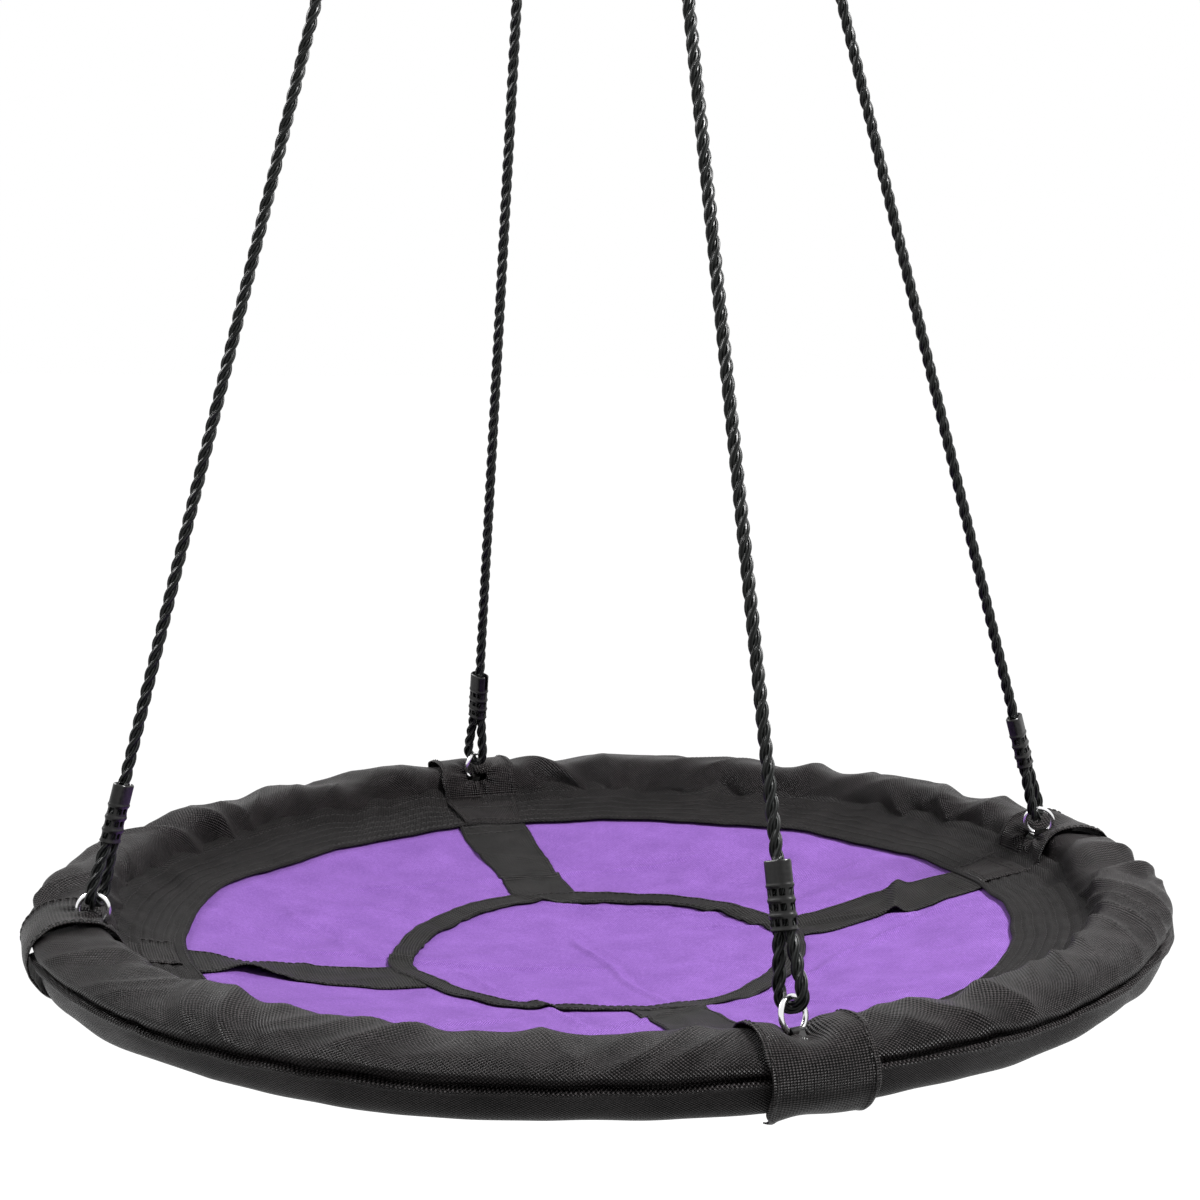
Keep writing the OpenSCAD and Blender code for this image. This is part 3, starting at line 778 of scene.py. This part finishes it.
def rim_covers():
    """Four covers from rope to rope, and the foam inside each."""
    half_gap = CORNER_GAP / 2 / RING_R
    foam_shrink, tube_hole = 0.0128, 0.0132        # foam's gap to the cover, and its bore's radius
    phi = section_angles(96)
    for i in range(4):
        start = math.radians(CORNERS[i] - 90) + half_gap
        end = math.radians(CORNERS[i]) - half_gap
        theta = np.linspace(start, end, round((end - start) * RING_R / 0.0028))
        t, p = np.meshgrid(theta, phi, indexing="ij")
        proud = rim_folds(t, p, 10 * i + 3)
        radial, height = section(p)
        points = on_rim(t, radial + np.cos(p) * proud, height + np.sin(p) * proud)
        uvs = np.stack([t * RING_R, p * SECTION_R], axis=2)
        faces = grid_faces(*t.shape, closed=True, flip=True) + end_caps(*t.shape)
        piece = new_object(f"cover_{i + 1}", points.reshape(-1, 3), faces, uvs.reshape(-1, 2))
        dress(piece, "seat", RIM_CLOTH, "black_cloth", f"rim_cover_{i + 1}")

        even = np.linspace(0, 2 * math.pi, 32, endpoint=False)
        t, p = np.meshgrid(theta[::4], even, indexing="ij")
        outer = on_rim(t, *section(p, -foam_shrink))
        inner = on_rim(t, tube_hole * np.cos(p), tube_hole * np.sin(p))
        verts = np.concatenate([outer.reshape(-1, 3), inner.reshape(-1, 3)])
        piece = new_object(f"foam_{i + 1}", verts, hollow_faces(*t.shape))
        dress(piece, "seat", FOAM, "foam", f"foam_sleeve_{i + 1}")


rim_covers()


# ---------------------------------------------------------------- seat cloth
# Creases pressed into the mat: where each starts and ends, as x, y in metres.
CREASES = [(-0.30, 0.02, -0.02, 0.30), (-0.25, -0.16, 0.04, -0.02), (0.02, 0.10, 0.30, 0.20),
           (0.10, -0.28, 0.22, 0.06), (-0.10, -0.10, 0.12, -0.22), (-0.20, 0.10, 0.10, 0.16),
           (0.16, -0.10, 0.34, -0.06), (-0.04, -0.33, 0.05, -0.20), (-0.06, 0.05, 0.13, -0.12),
           (0.06, 0.22, 0.16, 0.33), (-0.32, -0.05, -0.19, -0.12), (0.20, 0.02, 0.26, 0.22)]


def creased(x, y):
    """Height of the mat's creases: narrow ridges that fade at both ends."""
    made = 0 * x
    for k, (x0, y0, x1, y1) in enumerate(CREASES):
        long = math.hypot(x1 - x0, y1 - y0)
        ux, uy = (x1 - x0) / long, (y1 - y0) / long
        along = (x - x0) * ux + (y - y0) * uy
        off = (y - y0) * ux - (x - x0) * uy + 0.010 * wave(along, along * 0, 130 + k, 0.07)
        ends = step(along, 0, 0.04) * step(long - along, 0, 0.04)
        made = made + ends * (0.0027 * bump(off, 0.0042) - 0.0014 * bump(off - 0.009, 0.006))
    return made


def seat_height(x, y):
    """Height of the seat cloth's top face, with its soft folds."""
    r = np.hypot(x, y)
    a = np.arctan2(y, x)
    soft = (0.0034 * wave(x, y, 61, 0.13) + 0.0024 * wave(x, y, 62, 0.055)
            + 0.0007 * wave(x, y, 64, 0.020))
    crease = 0.0016 * (1 - 2.5 * np.abs(wave(a * 0.30, r * 0.35, 63, 0.045))) * step(r, 0.14, 0.26)
    return RIM_Z + cloth_z(r) + soft + creased(x, y) + crease * (1 - step(r, 0.33, 0.366))


def edge_of_mat(theta):
    """The wavy inner edge of the skirt."""
    x, y = 0.36 * np.cos(theta), 0.36 * np.sin(theta)
    return MAT_R + 0.0045 * wave(x, y, 41, 0.10) + 0.0018 * wave(x, y, 42, 0.035)


def polar(theta, r, lift):
    """Points on the seat cloth, raised by lift."""
    x, y = r * np.cos(theta), r * np.sin(theta)
    return np.stack([x, y, seat_height(x, y) + lift], axis=-1)


def seat_cloth():
    """The purple mat, which runs a little way under the skirt."""
    hidden = 0.012
    theta = np.linspace(0, 2 * math.pi, 361)
    spread = np.concatenate([[0.0008, 0.004], np.linspace(0.012, 1, 110)])
    t, s = np.meshgrid(theta, spread, indexing="ij")
    r = s * (MAT_R + hidden)
    points = polar(t, r, -0.0012 * step(r, MAT_R - hidden, MAT_R))[:, ::-1]
    uvs = np.stack([r * np.cos(t), r * np.sin(t)], axis=2)[:, ::-1]
    piece = cloth_piece("mat", points, uvs, CLOTH_T)
    weld(piece)
    dress(piece, "seat", PURPLE_CLOTH, "purple_cloth", "seat_mat")


def weld(piece):
    """Joins the vertices that lie on each other, such as where a grid meets itself."""
    work = bmesh.new()
    work.from_mesh(piece.data)
    bmesh.ops.remove_doubles(work, verts=work.verts, dist=1e-6)
    seen, twice = set(), []
    for face in work.faces:
        key = frozenset(v.index for v in face.verts)
        if key in seen:
            twice.append(face)
        seen.add(key)
    bmesh.ops.delete(work, geom=twice, context="FACES")
    work.to_mesh(piece.data)
    work.free()


SKIRT_ROWS = 7         # channels between the skirt's sewn rows


def skirt_surface(t, s):
    """Points of the skirt at angle t and share s of its width, and their radius.

    It has sewn rows, and folds that run on to the rim, and it turns up to meet the rim."""
    inner = edge_of_mat(t)
    r = inner + (INNER_EDGE + 0.004 - inner) * s
    rows = np.abs(np.sin(math.pi * SKIRT_ROWS * s))
    puff = 0.0013 * rows - 0.0005
    x, y = 0.4 * np.cos(t + 0.10 * s), 0.4 * np.sin(t + 0.10 * s)
    ridge = 1 - 2.5 * np.sqrt(wave(x, y, 51, 0.055) ** 2 + 0.002)
    gather = s**1.5 * (0.0052 * ridge + 0.0018 * wave(x, y, 52, 0.022))
    hem = 0.0012 * bump(s - 0.03, 0.03)
    rise = 0.009 * step(s, 0.68, 1.05)
    return polar(t, r, 0.0024 + puff + gather + hem + rise), r


def skirt():
    """The black ring of cloth between the mat and the rim."""
    theta = np.linspace(0, 2 * math.pi, 721)
    t, s = np.meshgrid(theta, np.linspace(0, 1, 64), indexing="ij")
    points, r = skirt_surface(t, s)
    uvs = np.stack([t * 0.39, r], axis=2)[:, ::-1]
    piece = cloth_piece("skirt", points[:, ::-1], uvs, CLOTH_T)
    weld(piece)
    dress(piece, "seat", SKIRT_CLOTH, "black_cloth", "mat_skirt")
    for share in [row / SKIRT_ROWS for row in range(1, SKIRT_ROWS)] + [0.05]:
        line, _ = skirt_surface(theta, np.full(theta.shape, share))
        sew(line)


skirt()
seat_cloth()


BAND_PULL = [0.009, 0.003, 0.006, 0.004]   # how far each strap draws the round band outwards


def band():
    """The round webbing at the middle, sewn down a little unevenly."""
    t, s = np.meshgrid(np.linspace(0, 2 * math.pi, 541), np.linspace(0, 1, 9), indexing="ij")
    x, y = np.cos(t) * 0.18, np.sin(t) * 0.18
    pull = sum(w * bump(around(t, math.radians(c)), 0.20) for c, w in zip(CORNERS, BAND_PULL))
    near = 0.5 + 0.5 * np.cos(around(t, math.radians(-63)))          # 1 at its narrowest side
    outer = (BAND_R - 0.004 + pull + 0.004 * wave(x, y, 71, 0.11)
             + 0.0010 * wave(x, y, 72, 0.012) * (s > 0.9))
    width = BAND_W - 0.0015 - 0.006 * near**3 + 0.002 * wave(x, y, 73, 0.09)
    r = outer - width * (1 - s) + 0.0016 * wave(x, y, 74, 0.011) * (s < 0.1)
    lift = 0.0026 + 0.0007 * wave(x, y, 75, 0.03) + 0.0005 * bump(s - 0.5, 0.42)
    points = polar(t, r, lift)[:, ::-1]
    sew(points[:, 1])
    sew(points[:, -2])
    uvs = np.stack([t * BAND_R, r], axis=2)[:, ::-1]
    piece = cloth_piece("round_band", points, uvs, WEB_T)
    weld(piece)
    dress(piece, "seat", WEBBING, "webbing", "centre_band")


STRAP_FLARE = [0.02, 0.14, 0.04, 0.05]         # how much wider each strap gets towards the rim
STRAP_TWIST = [0.42, 0.0, 0.0, 0.0]            # how much narrower it gets where it turns over
TWIST_AT = 0.318                               # radius where it turns over
STRAP_SHIFT = [0.032, 0.0, -0.004, 0.0]        # how far it lies to one side of its corner's line
STRAP_FOLD = [0.0016, 0.0020, 0.0062, 0.0030]  # height of the fold across it


def straps():
    """Four radial straps of webbing from the round band to the mat's edge."""
    start, end = BAND_R - 0.012, MAT_R + 0.008
    for i, corner in enumerate(CORNERS):
        along = np.linspace(start, end, 90)
        across = np.linspace(-0.5, 0.5, 25)
        l, w = np.meshgrid(along, across, indexing="ij")
        fray = 0.0006 * wave(l, w, 80 + i, 0.004) * (np.abs(w) > 0.45)
        flare = STRAP_FLARE[i] * step(l, 0.24, 0.36)
        twist = STRAP_TWIST[i] * bump(l - TWIST_AT, 0.022)
        half = STRAP_W * (1 + flare - twist + 0.04 * wave(l, l * 0, 84 + i, 0.06))
        shift = STRAP_SHIFT[i] * (1 - 0.7 * step(l, 0.20, 0.37))
        bend = shift + 0.004 * wave(l, l * 0, 88 + i, 0.10)
        side = w * half + bend + fray * np.sign(w)
        c = math.radians(corner)
        x = l * math.cos(c) - side * math.sin(c)
        y = l * math.sin(c) + side * math.cos(c)
        fold = STRAP_FOLD[i] * bump(l - (0.27 + 0.012 * i) - 0.5 * side, 0.008) * step(l, 0.2, 0.23)
        turned = 0.006 * STRAP_TWIST[i] * bump(l - TWIST_AT, 0.02) * (1 + 4 * w)
        lift = 0.0010 + 0.0008 * wave(l, w * 0.06, 92 + i, 0.03) + fold + turned
        points = np.stack([x, y, seat_height(x, y) + lift + 0.0008], axis=-1)
        for line in (points[:, 1], points[:, -2], points[3], points[-12, 1:-1], points[-6, 1:-1]):
            sew(line)
        uvs = np.stack([side, l], axis=2)
        piece = cloth_piece(f"strap_{i + 1}", points, uvs, 0.0012)
        dress(piece, "seat", WEBBING, "webbing", f"radial_strap_{i + 1}")


band()
straps()


# ---------------------------------------------------------------- patches
CREST_REACH = [0.0, 0.1, 0.35, 0.60]    # how far out over the rim's top each dip runs, in radians


def patches():
    """Cloth patches round the rim at each rope, drawn in at the ring, with a tail on the skirt."""
    ring_phi = math.acos((EYE_R - 0.006 - RING_R + PAD_FLAT) / PAD_R)
    across = np.linspace(-0.5, 0.5, 61)
    rim_rows, cut = 150, 8                 # rows round the rim, and those that give way to the tail
    for i, corner in enumerate(CORNERS):
        middle_angle = math.radians(corner)
        seed = 100 + 10 * i
        around_rim = np.linspace(math.radians(-78), math.radians(196), rim_rows)
        p, w = np.meshgrid(around_rim, across, indexing="ij")
        radial, height = section(p)
        a = w * PATCH_W * 0.95 * RING_R / (RING_R + radial)
        edge = bump((0.5 - np.abs(w)) * PATCH_W - 0.003, 0.0028)
        flare = step(-p, 0.55, 1.35)
        a = (a * (1 - 0.10 * flare * (1 + wave(p, w * 0, seed, 0.4)))
             + 0.003 * wave(p * 0.05, w * 0, seed + 1, 0.03))
        up = (p - ring_phi) * TOP_R                      # along the cloth from the ring
        still = 1 - 0.5 * step(np.abs(w), 0.35, 0.5)
        proud = 0.0030 + 0.0011 * edge + 0.0020 * wave(a, p * 0.045, seed + 2, 0.035) * still
        spoke = np.arctan2(up, a)
        pucker = np.sin(spoke * 9 + 1.3 * i) * 0.0021 * bump(np.hypot(a, up) - 0.016, 0.014)
        reach = CREST_REACH[i]
        crest = bump((p - ring_phi + reach) * TOP_R, 0.016 + 0.5 * reach * TOP_R)
        dip = CORNER_DIP[i] * bump(a, 0.017) * crest
        proud = proud + pucker - dip
        proud = proud + 0.005 * flare * (0.6 + wave(a, p * 0.01, seed + 3, 0.03))
        theta = middle_angle + a / RING_R
        round_rim = on_rim(theta, radial + np.cos(p) * proud, height + np.sin(p) * proud)

        tail = np.linspace(INNER_EDGE - 0.004, MAT_R + 0.004 + 0.006 * (i == 0), 22)
        l, w = np.meshgrid(tail, across, indexing="ij")
        a2 = w * PATCH_W * (1 - 0.10 * step(-l, -INNER_EDGE, -MAT_R))
        theta = middle_angle + a2 / RING_R
        x, y = l * np.cos(theta), l * np.sin(theta)
        hem = (0.0009 * bump(l - tail[-1] - 0.004, 0.003)
               + 0.0008 * bump((0.5 - np.abs(w)) * PATCH_W - 0.003, 0.003))
        lift = (0.0046 + hem + 0.0012 * wave(a2, l, seed + 4, 0.02)
                - 0.0012 * step(-l, -MAT_R - 0.02, -MAT_R))
        flat = np.stack([x, y, seat_height(x, y) + lift], axis=-1)

        whole = smooth_rows(np.concatenate([round_rim[:-cut], flat]), rim_rows - cut, 5)
        uvs = np.concatenate([np.stack([a, p * SECTION_R], axis=2)[:-cut],
                              np.stack([a2, 0.13 + INNER_EDGE - l], axis=2)])
        slit = np.concatenate([((a / 0.0125) ** 2 + (up / 0.0075) ** 2)[:-cut],
                               np.full(l.shape, 9.0)])
        keep = slit[:-1, :-1] > 1
        double = whole[-14, 3:-3]                        # sewn twice, there and back
        for line in (whole[20:, 3], whole[20:, -4], whole[-3, 3:-3], double, double[::-1],
                     whole[4, 3:-3]):
            sew(line, 0.0004)
        piece = cloth_piece(f"patch_{i + 1}", whole[:, ::-1], uvs[:, ::-1], 0.0012, keep[:, ::-1])
        dress(piece, "seat", PATCH_CLOTH, "black_cloth", f"wrap_patch_{i + 1}")


def smooth_rows(points, row, reach):
    """Rounds the corner in a grid of points at one row."""
    made = points.copy()
    low, high = row - reach, row + reach
    for _ in range(6):
        made[low:high] = (made[low:high] + made[low - 1:high - 1] + made[low + 1:high + 1]) / 3
    return made


patches()
stitching("thread_lines")


# ---------------------------------------------------------------- stage
def stage():
    """White floor and surroundings, a strong lamp high on one side and a weak one on the other."""
    size, level = 40, RIM_Z - 1.0
    floor = new_object("floor", [(-size, -size, level), (size, -size, level),
                                 (size, size, level), (-size, size, level)], [(0, 1, 2, 3)])
    paint, shader, _ = base_material("floor_white", (0.10, 0.10, 0.10), 0.9, 0, 0.0)
    shader.inputs["Emission Color"].default_value = (1, 1, 1, 1)
    shader.inputs["Emission Strength"].default_value = 0.93
    floor.data.materials.append(paint)
    world = bpy.data.worlds.new("studio")
    world.use_nodes = True
    sky = world.node_tree.nodes["Background"]
    sky.inputs["Color"].default_value = (1, 1, 1, 1)
    sky.inputs["Strength"].default_value = 1.0
    bpy.context.scene.world = world
    bpy.context.scene.view_settings.view_transform = "Standard"
    for name, spot, size, power in (("key", (1.4, 0.35, RIM_Z + 2.0), 0.7, 205),
                                    ("left", (-1.8, -0.3, RIM_Z + 1.3), 0.7, 45)):
        data = bpy.data.lights.new(name, "AREA")
        data.size, data.energy = size, power
        lamp = bpy.data.objects.new(name, data)
        lamp.location = spot
        towards = Vector((0, 0, RIM_Z)) - Vector(spot)
        lamp.rotation_euler = towards.to_track_quat("-Z", "Y").to_euler()
        bpy.context.collection.objects.link(lamp)


stage()
